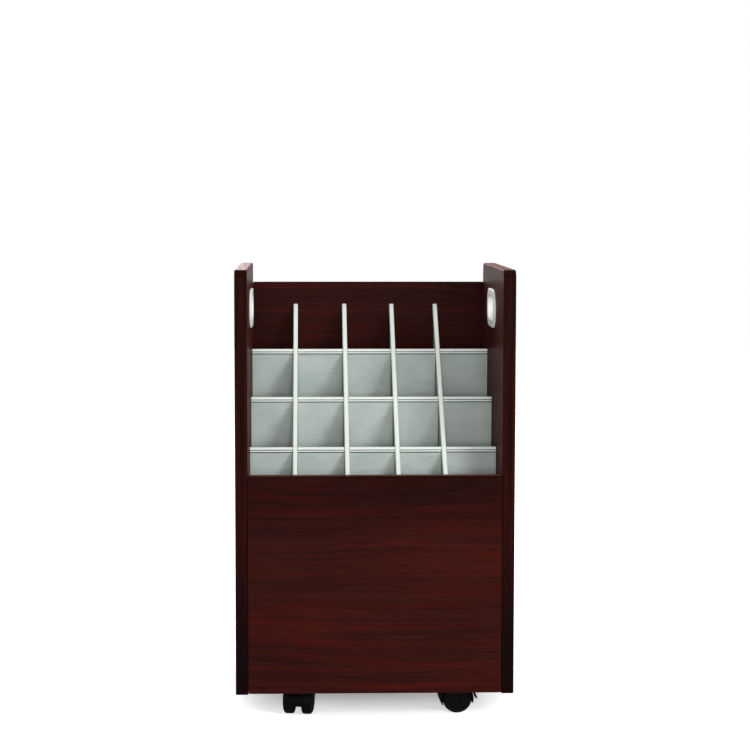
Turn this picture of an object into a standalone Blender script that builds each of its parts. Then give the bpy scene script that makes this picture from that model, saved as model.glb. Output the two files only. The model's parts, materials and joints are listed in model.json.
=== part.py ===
# Mobile roll file organizer: an open-topped laminate cabinet on four swivel casters.
# A grid of crossing boards makes twenty upright compartments, stepped up from front to back.
# Metres, +Z up, +X to the right, front panel facing -Y, origin on the floor under the middle.

import math

import bmesh
import bpy
from mathutils import Matrix, Vector

# Cabinet boards
cabinet_width = 0.38735
cabinet_depth = 0.33655
side_panel_height = 0.59055
front_panel_height = 0.3048
back_panel_drop = 0.02905
board_thickness = 0.0175
floor_clearance = 0.038
panel_raise = 0.0012
edge_band_thickness = 0.002
edge_rounding = 0.0008
side_corner_radius = 0.012
touch_gap = 0.0003

# Dowels from the front, back and base panels into the side panels, as shares of each panel's length
dowel_diameter = 0.008
dowel_reach = 0.010
dowel_place_shares = (0.15, 0.85)

# Divider grid; the shares are the middles of the four front-to-back boards across the inner width
row_count = 3
column_place_shares = (0.1845, 0.394, 0.598, 0.7865)
grid_front_drop = 0.035
grid_back_drop = 0.0323
divider_thickness = 0.0046
divider_end_gap = 0.001
slot_clearance = 0.0015
trim_wall = 0.0008
trim_web = 0.0012
trim_height = 0.0065
trim_joint_gap = 0.0004

# Hand hole and its liner, one in each side panel
hand_hole_length = 0.089
hand_hole_height = 0.033
hand_hole_drop = 0.0605
liner_wall = 0.002
liner_flange_width = 0.011
liner_flange_rise = 0.0035
liner_rounding = 0.001

# Casters
caster_side_inset = 0.0899
caster_end_inset = 0.060
caster_mount_height = 0.055
caster_trail = 0.014
front_left_rest_turn = 10.0
plate_side = 0.038
plate_thickness = 0.002
plate_corner_radius = 0.004
screw_spacing = 0.028
screw_diameter = 0.0035
screw_reach = 0.010
screw_head_diameter = 0.0068
screw_crown_diameter = 0.004
screw_head_rise = 0.0008
kingpin_diameter = 0.007
kingpin_collar_diameter = 0.014
kingpin_collar_height = 0.0019
kingpin_depth = 0.026

# Caster wheels and their axle
wheel_diameter = 0.0413
wheel_width = 0.0140
wheel_spacing = 0.0122
wheel_outer_shoulder = 0.0045
wheel_inner_shoulder = 0.003
wheel_rim_thickness = 0.0035
wheel_recess_depth = 0.0075
wheel_dome_rise = 0.0009
wheel_dish_depth = 0.0012
wheel_hub_diameter = 0.011
axle_diameter = 0.006
axle_engagement = 0.0095

# Caster hood
hood_width = 0.038
hood_wall = 0.0019
hood_arch_gap = 0.00095
hood_web_thickness = 0.010
hood_boss_diameter = 0.026
hood_slant_height = 0.024
hood_lead_height = 0.0110
hood_tail_height = 0.0147

# Brake pedal on the two front casters, pressed down at rest
pedal_width = 0.022
pedal_thickness = 0.0024
pedal_clearance = 0.0006
pedal_reach = 0.0298
pedal_tip_height = 0.0193
pedal_knee_height = 0.0238
pedal_top_height = 0.0295
pedal_pivot_reach = 0.015
pedal_pivot_height = 0.0285
pedal_lug_width = 0.006
pedal_lug_radius = 0.002
pedal_pin_diameter = 0.0024
pedal_pin_length = 0.009
pedal_lift_angle = 25.0
pedal_rounding = 0.0005

# Fineness of the round shapes
wheel_steps = 32
arch_steps = 24
round_steps = 16
fender_steps = 10
end_steps = 8
small_steps = 8
corner_steps = 5
shoulder_steps = 2
shoulder_turn = 80.0
corner_angle = 40.0
smooth_angle = 35.0

# Overrun of the cutters and the closeness at which points join
cut_overrun = 0.005
weld_distance = 0.00001

# Heights above the floor
side_bottom = floor_clearance
side_top = side_bottom + side_panel_height
panel_bottom = side_bottom + panel_raise
front_top = panel_bottom + front_panel_height
back_top = side_top - back_panel_drop
back_panel_height = back_top - panel_bottom
base_bottom = caster_mount_height
base_top = base_bottom + board_thickness

# Places across the width and the depth
half_width = cabinet_width / 2
half_depth = cabinet_depth / 2
inner_half_width = half_width - board_thickness
inner_half_depth = half_depth - board_thickness
panel_half_width = inner_half_width - touch_gap

# The slope that the trims' tops follow, from behind the front panel to before the back panel
grid_front_height = front_top - grid_front_drop
grid_back_height = back_top - grid_back_drop
grid_slope = (grid_back_height - grid_front_height) / (2 * inner_half_depth)
slope_angle = math.atan(grid_slope)
trim_width = divider_thickness + 2 * touch_gap + 2 * trim_wall
slot_width = divider_thickness + 2 * slot_clearance
column_places = [(2 * share - 1) * inner_half_width for share in column_place_shares]
row_places = [(2 * row / (row_count + 1) - 1) * inner_half_depth for row in range(1, row_count + 1)]
divider_bottom = base_top + touch_gap
column_drop = (trim_web + touch_gap) / math.cos(slope_angle)

# Caster heights; a flat of each wheel's many-sided rim lies on the floor
wheel_radius = wheel_diameter / 2
axle_height = wheel_radius * math.cos(math.pi / wheel_steps)
plate_top = caster_mount_height - touch_gap
plate_bottom = plate_top - plate_thickness
collar_bottom = plate_bottom - kingpin_collar_height
hood_top = collar_bottom - touch_gap
hood_inner_radius = wheel_radius + hood_arch_gap
hood_outer_radius = hood_inner_radius + hood_wall
boss_radius = hood_boss_diameter / 2

# Turns of the part's own axes: outlines drawn on the depth, across the width, and turned shapes laid down
on_depth = Matrix(((0, 0, 1), (1, 0, 0), (0, 1, 0))).to_4x4()
on_width = Matrix(((1, 0, 0), (0, 0, -1), (0, 1, 0))).to_4x4()
axis_to_x = Matrix.Rotation(math.pi / 2, 4, "Y")
axis_to_y = Matrix.Rotation(-math.pi / 2, 4, "X")

# Finishes: colour, roughness, metallic
finishes = {
    "mahogany_laminate": ((0.052, 0.011, 0.009, 1.0), 0.32, 0.0),
    "edge_band": ((0.030, 0.009, 0.008, 1.0), 0.35, 0.0),
    "grey_board": ((0.40, 0.43, 0.41, 1.0), 0.62, 0.0),
    "trim_plastic": ((0.80, 0.83, 0.80, 1.0), 0.38, 0.0),
    "liner_plastic": ((0.78, 0.80, 0.77, 1.0), 0.42, 0.0),
    "caster_plastic": ((0.006, 0.006, 0.007, 1.0), 0.36, 0.0),
    "wheel_nylon": ((0.008, 0.008, 0.008, 1.0), 0.45, 0.0),
    "zinc_steel": ((0.60, 0.61, 0.62, 1.0), 0.32, 1.0),
}


def make_collection(name):
    collection = bpy.data.collections.new(name)
    bpy.context.scene.collection.children.link(collection)
    return collection


for old in list(bpy.data.objects):
    bpy.data.objects.remove(old)
parts = make_collection("mobile_roll_file_organizer")
cutters = make_collection("cutters")


def make_material(name, finish):
    colour, roughness, metallic = finishes[finish]
    material = bpy.data.materials.new(name)
    material.use_nodes = True
    shader = material.node_tree.nodes["Principled BSDF"]
    shader.inputs["Base Color"].default_value = colour
    shader.inputs["Roughness"].default_value = roughness
    shader.inputs["Metallic"].default_value = metallic
    material.diffuse_color = colour
    return material


def add_part(name, mesh, finish, matrix=Matrix(), parent=None):
    part = bpy.data.objects.new(name, mesh)
    parts.objects.link(part)
    part.data.materials.append(make_material(name, finish))
    part.parent = parent
    part.matrix_local = matrix
    return part


def add_cutter(name, mesh, matrix=Matrix(), parent=None):
    cutter = bpy.data.objects.new(name, mesh)
    cutters.objects.link(cutter)
    cutter.hide_render = True
    cutter.display_type = "WIRE"
    cutter.parent = parent
    cutter.matrix_local = matrix
    return cutter


def cut(part, cutter, operation="DIFFERENCE"):
    boolean = part.modifiers.new(cutter.name, "BOOLEAN")
    boolean.operation = operation
    boolean.object = cutter
    boolean.solver = "EXACT"


def round_edges(part, width):
    bevel = part.modifiers.new("edge_rounding", "BEVEL")
    bevel.width = width
    bevel.segments = 1
    bevel.limit_method = "ANGLE"
    bevel.angle_limit = math.radians(corner_angle)


def shade_round(mesh):
    mesh.shade_smooth()
    mesh.set_sharp_from_angle(angle=math.radians(smooth_angle))


def box_mesh(name, size):
    shape = bmesh.new()
    bmesh.ops.create_cube(shape, size=1.0)
    bmesh.ops.scale(shape, vec=size, verts=shape.verts)
    mesh = bpy.data.meshes.new(name)
    shape.to_mesh(mesh)
    shape.free()
    return mesh


# A box between two corners, its origin in the middle
def add_box(name, low, high, finish, rounding=0.0):
    size = [b - a for a, b in zip(low, high)]
    middle = [(a + b) / 2 for a, b in zip(low, high)]
    part = add_part(name, box_mesh(name, size), finish, Matrix.Translation(middle))
    if rounding:
        round_edges(part, rounding)
    return part


# A flat outline, holes included, filled and extruded evenly to both sides of its plane
def outline_mesh(name, outlines, thickness):
    curve = bpy.data.curves.new(name, "CURVE")
    curve.dimensions = "2D"
    curve.fill_mode = "BOTH"
    curve.extrude = thickness / 2
    for outline in outlines:
        spline = curve.splines.new("POLY")
        spline.points.add(len(outline) - 1)
        for point, (across, up) in zip(spline.points, outline):
            point.co = (across, up, 0, 1)
        spline.use_cyclic_u = True
    drawing = bpy.data.objects.new(name, curve)
    bpy.context.scene.collection.objects.link(drawing)
    graph = bpy.context.evaluated_depsgraph_get()
    mesh = bpy.data.meshes.new_from_object(drawing.evaluated_get(graph))
    bpy.data.objects.remove(drawing)
    bpy.data.curves.remove(curve)
    shape = bmesh.new()
    shape.from_mesh(mesh)
    bmesh.ops.remove_doubles(shape, verts=shape.verts, dist=weld_distance)
    bmesh.ops.recalc_face_normals(shape, faces=shape.faces)
    shape.to_mesh(mesh)
    shape.free()
    mesh.name = name
    return mesh


def arc(centre, radius, start, end, steps):
    turns = [start + (end - start) * step / steps for step in range(steps + 1)]
    return [(centre[0] + radius * math.cos(math.radians(turn)),
             centre[1] + radius * math.sin(math.radians(turn))) for turn in turns]


# A rectangle about the origin with each corner's radius given from the lower right, anticlockwise
def rounded_rectangle(width, height, radii, steps):
    corners = ((1, -1, -90.0), (1, 1, 0.0), (-1, 1, 90.0), (-1, -1, 180.0))
    outline = []
    for (side, level, start), radius in zip(corners, radii):
        middle = (side * (width / 2 - radius), level * (height / 2 - radius))
        if radius:
            outline += arc(middle, radius, start, start + 90.0, steps)
        else:
            outline.append(middle)
    return outline


def oblong(length, height, steps):
    reach = length / 2 - height / 2
    return arc((reach, 0), height / 2, -90.0, 90.0, steps) + arc((-reach, 0), height / 2, 90.0, 270.0, steps)


# A turned shape: the profile's (radius, height) points run from the top down its outer side
def turned_mesh(name, profile, steps):
    mesh = bpy.data.meshes.new(name)
    points = [(radius, 0, height) for radius, height in profile]
    mesh.from_pydata(points, [(index, index + 1) for index in range(len(points) - 1)], [])
    lathe = bpy.data.objects.new(name, mesh)
    bpy.context.scene.collection.objects.link(lathe)
    screw = lathe.modifiers.new("turning", "SCREW")
    screw.axis = "Z"
    screw.angle = 2 * math.pi
    screw.steps = steps
    screw.render_steps = steps
    screw.use_merge_vertices = True
    screw.merge_threshold = weld_distance
    graph = bpy.context.evaluated_depsgraph_get()
    turned = bpy.data.meshes.new_from_object(lathe.evaluated_get(graph))
    bpy.data.objects.remove(lathe)
    turned.name = name
    shade_round(turned)
    return turned


def cylinder_mesh(name, radius, length, steps):
    half = length / 2
    return turned_mesh(name, [(0, half), (radius, half), (radius, -half), (0, -half)], steps)


# Copies of one mesh at several places, kept as separate solids of one object
def group_mesh(name, mesh, matrices):
    shape = bmesh.new()
    for matrix in matrices:
        placed = mesh.copy()
        placed.transform(matrix)
        shape.from_mesh(placed)
        bpy.data.meshes.remove(placed)
    grouped = bpy.data.meshes.new(name)
    shape.to_mesh(grouped)
    shape.free()
    shade_round(grouped)
    return grouped


def slope_height(depth_place):
    return grid_front_height + grid_slope * (depth_place + inner_half_depth)


# Height at which a row board's slot from above meets the column board's slot from below
def crossing_height(depth_place):
    return (divider_bottom + slope_height(depth_place) - trim_web) / 2


# Boards of the cabinet

# Depth places and heights of the dowels in each panel's ends
def dowel_places():
    end_place = half_depth - board_thickness / 2
    base_height = (base_bottom + base_top) / 2
    return {
        "front_panel": [(-end_place, panel_bottom + share * front_panel_height)
                        for share in dowel_place_shares],
        "back_panel": [(end_place, panel_bottom + share * back_panel_height)
                       for share in dowel_place_shares],
        "base_panel": [((2 * share - 1) * inner_half_depth, base_height) for share in dowel_place_shares],
    }


# Dowels glued into both ends of a panel
def add_dowels(panel):
    dowel = cylinder_mesh("dowel", dowel_diameter / 2, 2 * (dowel_reach + touch_gap), small_steps)
    matrices = [Matrix.Translation((side * panel_half_width, *place)) @ axis_to_x
                for side in (-1, 1) for place in dowel_places()[panel.name]]
    name = f"{panel.name}_dowels"
    cut(panel, add_cutter(name, group_mesh(name, dowel, matrices)), "UNION")


def cut_dowel_bores(panel, facing):
    bore = cylinder_mesh("dowel_bore", dowel_diameter / 2 + touch_gap, 2 * (dowel_reach + touch_gap),
                         small_steps)
    matrices = [Matrix.Translation((facing * inner_half_width, *place)) @ axis_to_x
                for places in dowel_places().values() for place in places]
    name = f"{panel.name}_dowel_bores"
    cut(panel, add_cutter(name, group_mesh(name, bore, matrices)))


def add_side_panel(side, facing):
    outer = (cabinet_depth, side_panel_height)
    shell = edge_band_thickness + touch_gap
    core = (outer[0] - 2 * shell, outer[1] - 2 * shell)
    core_radius = side_corner_radius - shell
    band_inner = [size - 2 * edge_band_thickness for size in outer]
    band_radius = side_corner_radius - edge_band_thickness
    middle = Vector((facing * (half_width - board_thickness / 2), 0, (side_bottom + side_top) / 2))
    hole_rise = side_top - hand_hole_drop - middle.z
    hole_growth = 2 * (liner_wall + touch_gap)
    hole = [(across, up + hole_rise) for across, up in
            oblong(hand_hole_length + hole_growth, hand_hole_height + hole_growth, end_steps)]
    board = outline_mesh(f"side_panel_{side}", [
        rounded_rectangle(*core, (0, core_radius, core_radius, 0), corner_steps), hole], board_thickness)
    panel = add_part(f"side_panel_{side}", board, "mahogany_laminate", Matrix.Translation(middle) @ on_depth)
    cut_dowel_bores(panel, facing)
    ring = outline_mesh(f"side_edge_band_{side}", [
        rounded_rectangle(*outer, (0, side_corner_radius, side_corner_radius, 0), corner_steps),
        rounded_rectangle(*band_inner, (0, band_radius, band_radius, 0), corner_steps)], board_thickness)
    band = add_part(f"side_edge_band_{side}", ring, "edge_band", Matrix.Translation(middle) @ on_depth)
    round_edges(band, edge_rounding)


# The liner's flange lies on the side panel's inner face and its sleeve ends flush with the outer face
def add_hand_hole_liner(side, facing):
    inner_face = facing * inner_half_width
    height = side_top - hand_hole_drop
    flange_thickness = liner_flange_rise - touch_gap
    sleeve_length = board_thickness + touch_gap + flange_thickness / 2
    flange_middle = inner_face - facing * (touch_gap + flange_thickness / 2)
    sleeve_middle = facing * (half_width - sleeve_length / 2)
    flange_size = [size + 2 * liner_flange_width for size in (hand_hole_length, hand_hole_height)]
    sleeve_size = [size + 2 * liner_wall for size in (hand_hole_length, hand_hole_height)]
    flange = outline_mesh(f"hand_hole_liner_{side}", [oblong(*flange_size, end_steps)], flange_thickness)
    liner = add_part(f"hand_hole_liner_{side}", flange, "liner_plastic",
                     Matrix.Translation((flange_middle, 0, height)) @ on_depth)
    round_edges(liner, liner_rounding)
    sleeve = outline_mesh(f"liner_sleeve_{side}", [oblong(*sleeve_size, end_steps)], sleeve_length)
    cut(liner, add_cutter(f"liner_sleeve_{side}", sleeve,
                          Matrix.Translation((sleeve_middle, 0, height)) @ on_depth), "UNION")
    mouth = oblong(hand_hole_length, hand_hole_height, end_steps)
    opening = outline_mesh(f"liner_opening_{side}", [mouth],
                           2 * (board_thickness + liner_flange_rise + cut_overrun))
    cut(liner, add_cutter(f"liner_opening_{side}", opening,
                          Matrix.Translation((inner_face, 0, height)) @ on_depth))
    shade_round(liner.data)


def add_end_panel(name, facing, top):
    outer_face = facing * half_depth
    inner_face = facing * inner_half_depth
    near, far = sorted((outer_face, inner_face))
    core_top = top - edge_band_thickness - touch_gap
    panel = add_box(f"{name}_panel", (-panel_half_width, near, panel_bottom),
                    (panel_half_width, far, core_top), "mahogany_laminate")
    add_dowels(panel)
    add_box(f"{name}_top_band", (-panel_half_width, near, top - edge_band_thickness),
            (panel_half_width, far, top), "edge_band", edge_rounding)


def caster_places():
    across = half_width - caster_side_inset
    along = half_depth - caster_end_inset
    return {
        "front_left": (-across, -along, -90.0 - front_left_rest_turn, True),
        "front_right": (across, -along, 0.0, True),
        "rear_left": (-across, along, 90.0, False),
        "rear_right": (across, along, 90.0, False),
    }


def screw_places(x, y):
    half = screw_spacing / 2
    return [Vector((x + side * half, y + end * half, 0)) for side in (-1, 1) for end in (-1, 1)]


# Bores in the base panel for the four screws of each caster plate
def cut_screw_bores(base_panel):
    bore = cylinder_mesh("screw_bore", screw_diameter / 2 + touch_gap, 2 * (screw_reach + touch_gap),
                         small_steps)
    matrices = [Matrix.Translation((*spot.xy, base_bottom))
                for x, y, turn, pedal in caster_places().values() for spot in screw_places(x, y)]
    cut(base_panel, add_cutter("screw_bores", group_mesh("screw_bores", bore, matrices)))


def add_base_panel():
    reach = inner_half_depth - touch_gap
    panel = add_box("base_panel", (-panel_half_width, -reach, base_bottom),
                    (panel_half_width, reach, base_top), "mahogany_laminate")
    add_dowels(panel)
    cut_screw_bores(panel)


# Divider grid

# A front-to-back board: its top follows the slope and its slots open downwards
def add_column_divider(number, place):
    front = -inner_half_depth + divider_end_gap
    back = inner_half_depth - divider_end_gap
    outline = [(front, divider_bottom)]
    for depth_place in row_places:
        left, right = depth_place - slot_width / 2, depth_place + slot_width / 2
        slot_top = crossing_height(depth_place) + touch_gap / 2
        outline += [(left, divider_bottom), (left, slot_top), (right, slot_top), (right, divider_bottom)]
    outline += [(back, divider_bottom), (back, slope_height(back) - column_drop),
                (front, slope_height(front) - column_drop)]
    name = f"column_divider_{number}"
    add_part(name, outline_mesh(name, [outline], divider_thickness), "grey_board",
             Matrix.Translation((place, 0, 0)) @ on_depth)


# A left-to-right board: its slots open upwards
def add_row_divider(number, depth_place):
    reach = inner_half_width - divider_end_gap
    top = slope_height(depth_place) - trim_web - touch_gap
    slot_bottom = crossing_height(depth_place) - touch_gap / 2
    outline = [(reach, divider_bottom), (reach, top)]
    for place in reversed(column_places):
        left, right = place - slot_width / 2, place + slot_width / 2
        outline += [(right, top), (right, slot_bottom), (left, slot_bottom), (left, top)]
    outline += [(-reach, top), (-reach, divider_bottom)]
    name = f"row_divider_{number}"
    add_part(name, outline_mesh(name, [outline], divider_thickness), "grey_board",
             Matrix.Translation((0, depth_place, 0)) @ on_width)


# A channel that caps a column board along the slope
def add_column_trim(number, place):
    front = -inner_half_depth + divider_end_gap
    back = inner_half_depth - divider_end_gap
    drop = trim_height / math.cos(slope_angle)
    web_drop = trim_web / math.cos(slope_angle)
    outline = [(front, slope_height(front) - drop), (back, slope_height(back) - drop),
               (back, slope_height(back)), (front, slope_height(front))]
    name = f"column_trim_{number}"
    trim = add_part(name, outline_mesh(name, [outline], trim_width), "trim_plastic",
                    Matrix.Translation((place, 0, 0)) @ on_depth)
    ends = (front - cut_overrun, back + cut_overrun)
    channel = [(ends[0], slope_height(ends[0]) - drop - cut_overrun),
               (ends[1], slope_height(ends[1]) - drop - cut_overrun),
               (ends[1], slope_height(ends[1]) - web_drop), (ends[0], slope_height(ends[0]) - web_drop)]
    groove = outline_mesh(f"column_channel_{number}", [channel], divider_thickness + 2 * touch_gap)
    cut(trim, add_cutter(f"column_channel_{number}", groove, Matrix.Translation((place, 0, 0)) @ on_depth))


# Channels that cap a row board, one length in each compartment
def add_row_trims(number, depth_place):
    reach = inner_half_width - divider_end_gap
    half_joint = trim_width / 2 + trim_joint_gap
    starts = [-reach] + [place + half_joint for place in column_places]
    ends = [place - half_joint for place in column_places] + [reach]
    half_inner = trim_width / 2 - trim_wall
    channel = [(-trim_width / 2, -trim_height), (-half_inner, -trim_height), (-half_inner, -trim_web),
               (half_inner, -trim_web), (half_inner, -trim_height), (trim_width / 2, -trim_height),
               (trim_width / 2, 0), (-trim_width / 2, 0)]
    for column, (start, end) in enumerate(zip(starts, ends), 1):
        name = f"row_trim_{number}_{column}"
        middle = ((start + end) / 2, depth_place, slope_height(depth_place))
        add_part(name, outline_mesh(name, [channel], end - start), "trim_plastic",
                 Matrix.Translation(middle) @ on_depth)


# Casters; each one's own X axis points the way its wheels trail, from the kingpin's axis on the floor

# The plate with its four screws and its kingpin, which has a collar for the hood to turn against
def add_caster_mount(name, place):
    outline = rounded_rectangle(plate_side, plate_side, (plate_corner_radius,) * 4, corner_steps)
    middle = Vector((*place, plate_bottom + plate_thickness / 2))
    plate = outline_mesh(f"{name}_caster_mount", [outline], plate_thickness)
    mount = add_part(f"{name}_caster_mount", plate, "zinc_steel", Matrix.Translation(middle))
    shank, head, crown = screw_diameter / 2, screw_head_diameter / 2, screw_crown_diameter / 2
    tip, crown_bottom = base_bottom + screw_reach, plate_bottom - screw_head_rise
    screw = turned_mesh("screw", [(0, tip), (shank, tip), (shank, middle.z), (head, middle.z), (head, plate_bottom),
                                  (crown, crown_bottom), (0, crown_bottom)], small_steps)
    screws = group_mesh(f"{name}_screws", screw, [Matrix.Translation(spot) for spot in screw_places(*place)])
    cut(mount, add_cutter(f"{name}_screws", screws), "UNION")
    radius, collar = kingpin_diameter / 2, kingpin_collar_diameter / 2
    bottom = hood_top - kingpin_depth
    profile = [(0, middle.z), (collar, middle.z), (collar, collar_bottom), (radius, collar_bottom),
               (radius, bottom), (0, bottom)]
    kingpin = turned_mesh(f"{name}_kingpin", profile, round_steps)
    cut(mount, add_cutter(f"{name}_kingpin", kingpin, Matrix.Translation((*place, 0))), "UNION")


# The hood: a fender over both wheels, a web between them and a boss around the kingpin
def add_hood(name, swivel, with_pedal):
    tail = Vector((caster_trail, axle_height))
    lead_drop = hood_lead_height - axle_height
    tail_drop = hood_tail_height - axle_height
    lead_turn = 180.0 - math.degrees(math.asin(lead_drop / hood_outer_radius))
    tail_turn = math.degrees(math.asin(tail_drop / hood_outer_radius))
    boss_foot = axle_height + hood_outer_radius + hood_wall
    outline = [(tail.x + hood_outer_radius * math.cos(math.radians(lead_turn)), hood_lead_height)]
    outline += arc(tail, hood_outer_radius, tail_turn, 90.0, fender_steps)
    outline += [(boss_radius, boss_foot), (boss_radius, hood_top), (-boss_radius, hood_top),
                (-boss_radius, hood_slant_height)]
    hood = add_part(f"{name}_hood", outline_mesh(f"{name}_hood", [outline], hood_width), "caster_plastic",
                    on_width, swivel)
    round_edges(hood, hood_wall / 2)
    arch_length = hood_width / 2
    arch = cylinder_mesh(f"{name}_arch", hood_inner_radius, arch_length, arch_steps)
    reach = hood_web_thickness / 2 + arch_length / 2
    arches = group_mesh(f"{name}_arches", arch, [
        Matrix.Translation((tail.x, side * reach, tail.y)) @ axis_to_y for side in (-1, 1)])
    cut(hood, add_cutter(f"{name}_arches", arches, Matrix(), swivel))
    bore = cylinder_mesh(f"{name}_hood_bore", kingpin_diameter / 2 + touch_gap,
                         2 * (kingpin_depth + touch_gap), round_steps)
    cut(hood, add_cutter(f"{name}_hood_bore", bore, Matrix.Translation((0, 0, hood_top)), swivel))
    axle_bore = cylinder_mesh(f"{name}_axle_bore", axle_diameter / 2 + touch_gap, hood_width, round_steps)
    cut(hood, add_cutter(f"{name}_axle_bore", axle_bore,
                         Matrix.Translation((tail.x, 0, tail.y)) @ axis_to_y, swivel))
    if with_pedal:
        cut_pedal_slot(hood, name, swivel)


def add_axle(name, swivel):
    length = wheel_spacing + 2 * axle_engagement
    add_part(f"{name}_axle", cylinder_mesh(f"{name}_axle", axle_diameter / 2, length, round_steps),
             "zinc_steel", Matrix.Translation((caster_trail, 0, axle_height)) @ axis_to_y, swivel)


# A wheel turned about its axle: inner face at zero, outer face at the wheel's width
def wheel_profile():
    bore = axle_diameter / 2 + touch_gap
    hub = wheel_hub_diameter / 2
    hub_start = hood_web_thickness / 2 + touch_gap - wheel_spacing / 2
    bore_end = axle_engagement + touch_gap
    rim_inner = wheel_radius - wheel_rim_thickness
    outer_shoulder = arc((wheel_radius - wheel_outer_shoulder, wheel_width - wheel_outer_shoulder),
                         wheel_outer_shoulder, shoulder_turn, 0.0, shoulder_steps)
    inner_shoulder = arc((wheel_radius - wheel_inner_shoulder, wheel_inner_shoulder),
                         wheel_inner_shoulder, 0.0, -shoulder_turn, shoulder_steps)
    dish_rim = wheel_radius - wheel_outer_shoulder - wheel_dish_depth
    profile = [(0, wheel_width + wheel_dome_rise - wheel_dish_depth),
               (dish_rim, wheel_width - wheel_dish_depth)]
    profile += outer_shoulder + inner_shoulder
    profile += [(rim_inner, 0), (rim_inner - wheel_dish_depth, wheel_recess_depth), (hub, wheel_recess_depth),
                (hub, hub_start), (bore, hub_start), (bore, bore_end), (0, bore_end)]
    return profile


def add_wheels(name, swivel):
    mesh = turned_mesh(f"{name}_wheel", wheel_profile(), wheel_steps)
    mesh.transform(Matrix.Rotation(math.pi / wheel_steps, 4, "Z"))
    for number, side in ((1, -1), (2, 1)):
        turn = Matrix.Rotation(-side * math.pi / 2, 4, "X")
        middle = Matrix.Translation((caster_trail, side * wheel_spacing / 2, axle_height))
        add_part(f"{name}_wheel_{number}", mesh.copy(), "wheel_nylon", middle @ turn, swivel)


# Brake pedal: a plate outside the fender, on a lug that turns on a pin in the hood's web

def pedal_plate_outline():
    near = caster_trail + hood_outer_radius + pedal_clearance
    tip = caster_trail + pedal_reach
    flare = math.atan2(tip - near - pedal_thickness, pedal_knee_height - pedal_tip_height)
    knee = pedal_knee_height + pedal_thickness * math.tan(flare / 2)
    tip_thickness = pedal_thickness / math.cos(flare)
    far = near + pedal_thickness
    return [(near, pedal_top_height), (near, pedal_knee_height), (tip - tip_thickness, pedal_tip_height),
            (tip, pedal_tip_height), (far, knee), (far, pedal_top_height)]


def pedal_pivot():
    return Vector((caster_trail + pedal_pivot_reach, 0, pedal_pivot_height))


def add_pedal(name, swivel):
    pivot = pedal_pivot()
    plate_outline = [(across - pivot.x, up - pivot.z) for across, up in pedal_plate_outline()]
    mesh = outline_mesh(f"{name}_brake_pedal", [plate_outline], pedal_width)
    pedal = add_part(f"{name}_brake_pedal", mesh, "caster_plastic", Matrix.Translation(pivot) @ on_width,
                     swivel)
    round_edges(pedal, pedal_rounding)
    lug_reach = caster_trail + hood_outer_radius + pedal_clearance + pedal_thickness / 2 - pivot.x
    lug_outline = arc((0, 0), pedal_lug_radius, 90.0, 270.0, small_steps // 2)
    lug_outline += [(lug_reach, -pedal_lug_radius), (lug_reach, pedal_top_height - pedal_rounding - pivot.z)]
    lug = outline_mesh(f"{name}_pedal_lug", [lug_outline], pedal_lug_width)
    cut(pedal, add_cutter(f"{name}_pedal_lug", lug, Matrix.Translation(pivot) @ on_width, swivel), "UNION")
    pin = cylinder_mesh(f"{name}_pedal_pin", pedal_pin_diameter / 2, pedal_pin_length, small_steps)
    cut(pedal, add_cutter(f"{name}_pedal_pin", pin, Matrix.Translation(pivot) @ axis_to_y, swivel), "UNION")


# Room in the hood's web for the lug to lift, and a hole across it for the pin
def cut_pedal_slot(hood, name, swivel):
    pivot = pedal_pivot()
    room = pedal_lug_radius + 2 * touch_gap
    reach = caster_trail + hood_outer_radius + cut_overrun - pivot.x
    rise = reach * math.tan(math.radians(pedal_lift_angle))
    outline = arc((0, 0), room, 90.0, 270.0, small_steps // 2) + [(reach, -room), (reach, room + rise)]
    slot = outline_mesh(f"{name}_pedal_slot", [outline], pedal_lug_width + 2 * touch_gap)
    cut(hood, add_cutter(f"{name}_pedal_slot", slot, Matrix.Translation(pivot) @ on_width, swivel))
    hole = cylinder_mesh(f"{name}_pin_hole", pedal_pin_diameter / 2 + touch_gap,
                         hood_web_thickness + cut_overrun, small_steps)
    cut(hood, add_cutter(f"{name}_pin_hole", hole, Matrix.Translation(pivot) @ axis_to_y, swivel))


def add_caster(name, x, y, turn, with_pedal):
    add_caster_mount(name, (x, y))
    swivel = bpy.data.objects.new(f"{name}_swivel", None)
    parts.objects.link(swivel)
    swivel.matrix_local = Matrix.Translation((x, y, 0)) @ Matrix.Rotation(math.radians(turn), 4, "Z")
    add_hood(name, swivel, with_pedal)
    add_axle(name, swivel)
    add_wheels(name, swivel)
    if with_pedal:
        add_pedal(name, swivel)


def build():
    add_side_panel("left", -1)
    add_side_panel("right", 1)
    add_hand_hole_liner("left", -1)
    add_hand_hole_liner("right", 1)
    add_end_panel("front", -1, front_top)
    add_end_panel("back", 1, back_top)
    add_base_panel()
    for number, place in enumerate(column_places, 1):
        add_column_divider(number, place)
        add_column_trim(number, place)
    for number, depth_place in enumerate(row_places, 1):
        add_row_divider(number, depth_place)
        add_row_trims(number, depth_place)
    for name, place in caster_places().items():
        add_caster(name, *place)


build()
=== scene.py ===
import json
import math

import bmesh
import bpy
from mathutils import Matrix, Vector


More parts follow.
